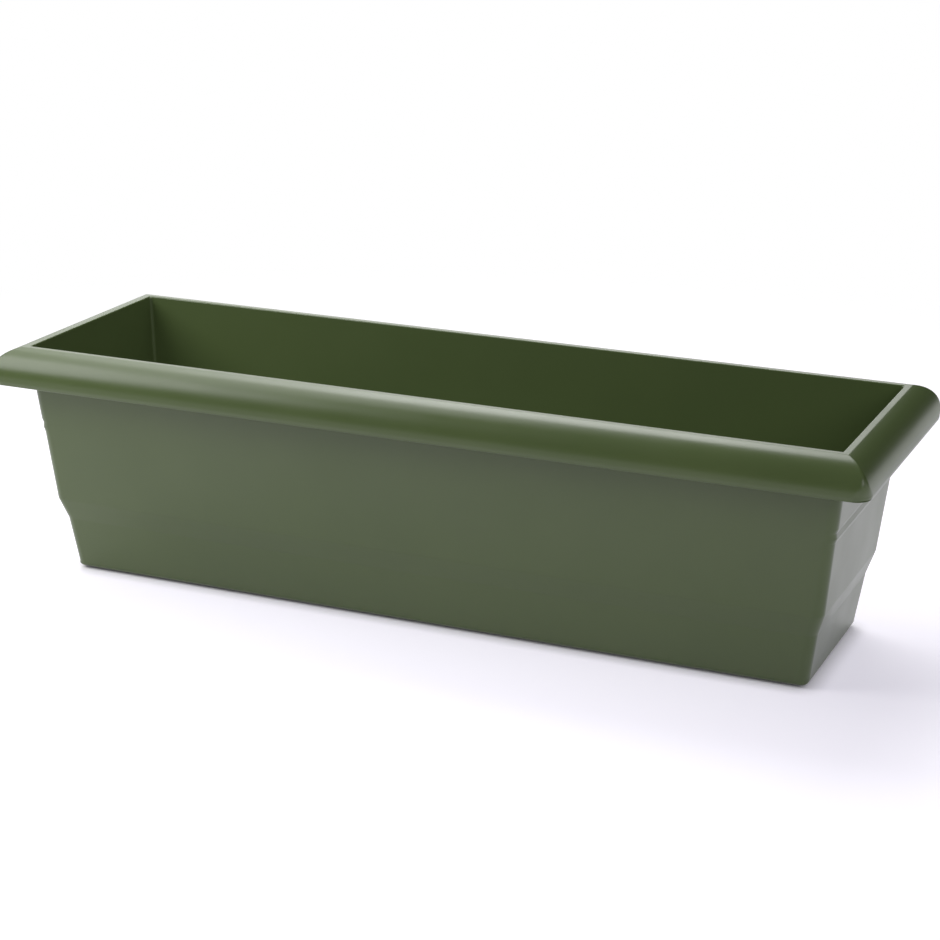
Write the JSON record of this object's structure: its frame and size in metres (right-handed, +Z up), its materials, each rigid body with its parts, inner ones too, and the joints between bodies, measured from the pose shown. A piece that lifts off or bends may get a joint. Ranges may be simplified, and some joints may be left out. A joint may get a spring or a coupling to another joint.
{
  "type": "rectangular planter",
  "caption": "Long rectangular plastic planter trough with a hollow rolled rim, stepped tapering walls, lift-out slotted drainage grids on an inner ledge and push-in drain plugs.",
  "frame": {"origin": "on the ground under the middle of the trough", "axes": "+X along the trough to the right of the front, +Y towards the back, +Z up; the front long wall faces -Y"},
  "size_m": [0.61, 0.204, 0.164],
  "materials": {
    "trough": "semi-gloss olive green moulding",
    "grid": "matt olive green moulding",
    "plug": "matt near-black moulding"
  },
  "bodies": {
    "trough": {"trough_body": "trough"},
    "left_grid": {"drainage_grid_left": "grid"},
    "right_grid": {"drainage_grid_right": "grid"},
    "plug_1": {"drain_plug_1": "plug"},
    "plug_2": {"drain_plug_2": "plug"},
    "plug_3": {"drain_plug_3": "plug"},
    "plug_4": {"drain_plug_4": "plug"}
  },
  "joints": [
    {"name": "left_grid_lift", "type": "slide", "parent": "trough", "child": "left_grid", "axis": [0, 0, 1], "range_m": [0, 0.17]},
    {"name": "right_grid_lift", "type": "slide", "parent": "trough", "child": "right_grid", "axis": [0, 0, 1], "range_m": [0, 0.17]},
    {"name": "plug_1_pull", "type": "slide", "parent": "trough", "child": "plug_1", "axis": [0, 0, 1], "range_m": [0, 0.03]},
    {"name": "plug_2_pull", "type": "slide", "parent": "trough", "child": "plug_2", "axis": [0, 0, 1], "range_m": [0, 0.03]},
    {"name": "plug_3_pull", "type": "slide", "parent": "trough", "child": "plug_3", "axis": [0, 0, 1], "range_m": [0, 0.03]},
    {"name": "plug_4_pull", "type": "slide", "parent": "trough", "child": "plug_4", "axis": [0, 0, 1], "range_m": [0, 0.03]}
  ]
}
